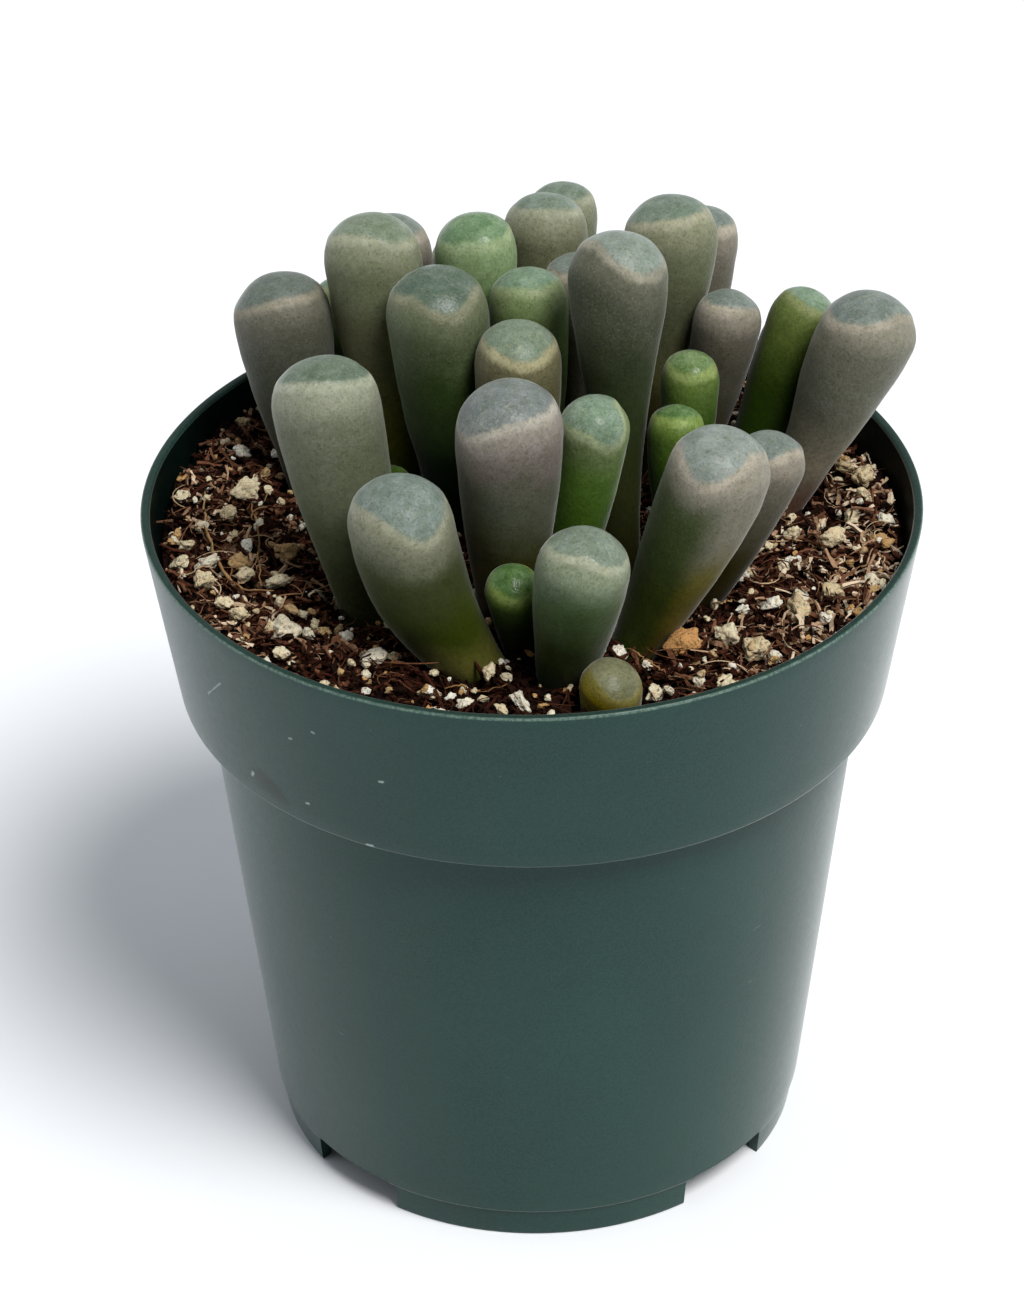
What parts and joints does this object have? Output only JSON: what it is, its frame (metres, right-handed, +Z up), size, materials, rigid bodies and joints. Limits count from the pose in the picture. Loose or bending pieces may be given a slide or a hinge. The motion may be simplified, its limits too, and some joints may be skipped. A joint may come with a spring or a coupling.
{
  "type": "potted baby toes succulent",
  "caption": "Clump of upright club-shaped succulent leaves with clear domed windows on their tips, standing in bark and perlite mix in a round tapered nursery pot with a wide collar.",
  "frame": {"origin": "centre of the circle that the pot's foot stands on", "axes": "+Z up along the pot's axis, -Y towards the side that the picture shows, +X to the right in the picture"},
  "size_m": [0.076, 0.076, 0.0996],
  "materials": {
    "pot_plastic": "dark teal-green injection-moulded plastic with a soft sheen",
    "potting_mix": "dark bark and coir with pale perlite crumbs",
    "crown": "tan corky roots",
    "leaf_mauve": "mauve-grey leaf skin with a waxy bloom",
    "leaf_grey": "grey-green leaf skin with a waxy bloom",
    "leaf_green": "green leaf skin, slightly glossy",
    "leaf_young": "bright green young leaf skin, slightly glossy"
  },
  "bodies": {
    "root": {"pot": "pot_plastic", "potting_mix": "potting_mix", "crown_and_roots": "crown", "leaf_01": "leaf_mauve", "leaf_02": "leaf_grey", "leaf_03": "leaf_mauve", "leaf_04": "leaf_young", "leaf_05": "leaf_grey", "leaf_06": "leaf_grey", "leaf_07": "leaf_grey", "leaf_08": "leaf_mauve", "leaf_09": "leaf_grey", "leaf_10": "leaf_green", "leaf_11": "leaf_mauve", "leaf_12": "leaf_mauve", "leaf_13": "leaf_grey", "leaf_14": "leaf_mauve", "leaf_15": "leaf_green", "leaf_16": "leaf_mauve", "leaf_17": "leaf_grey", "leaf_18": "leaf_mauve", "leaf_19": "leaf_green", "leaf_20": "leaf_young", "leaf_21": "leaf_young", "leaf_22": "leaf_mauve", "leaf_23": "leaf_mauve", "leaf_24": "leaf_grey", "leaf_25": "leaf_young", "leaf_26": "leaf_grey", "leaf_27": "leaf_grey", "leaf_28": "leaf_young", "leaf_29": "leaf_green", "leaf_30": "leaf_grey", "leaf_31": "leaf_mauve", "leaf_32": "leaf_grey", "leaf_33": "leaf_grey"}
  },
  "joints": []
}
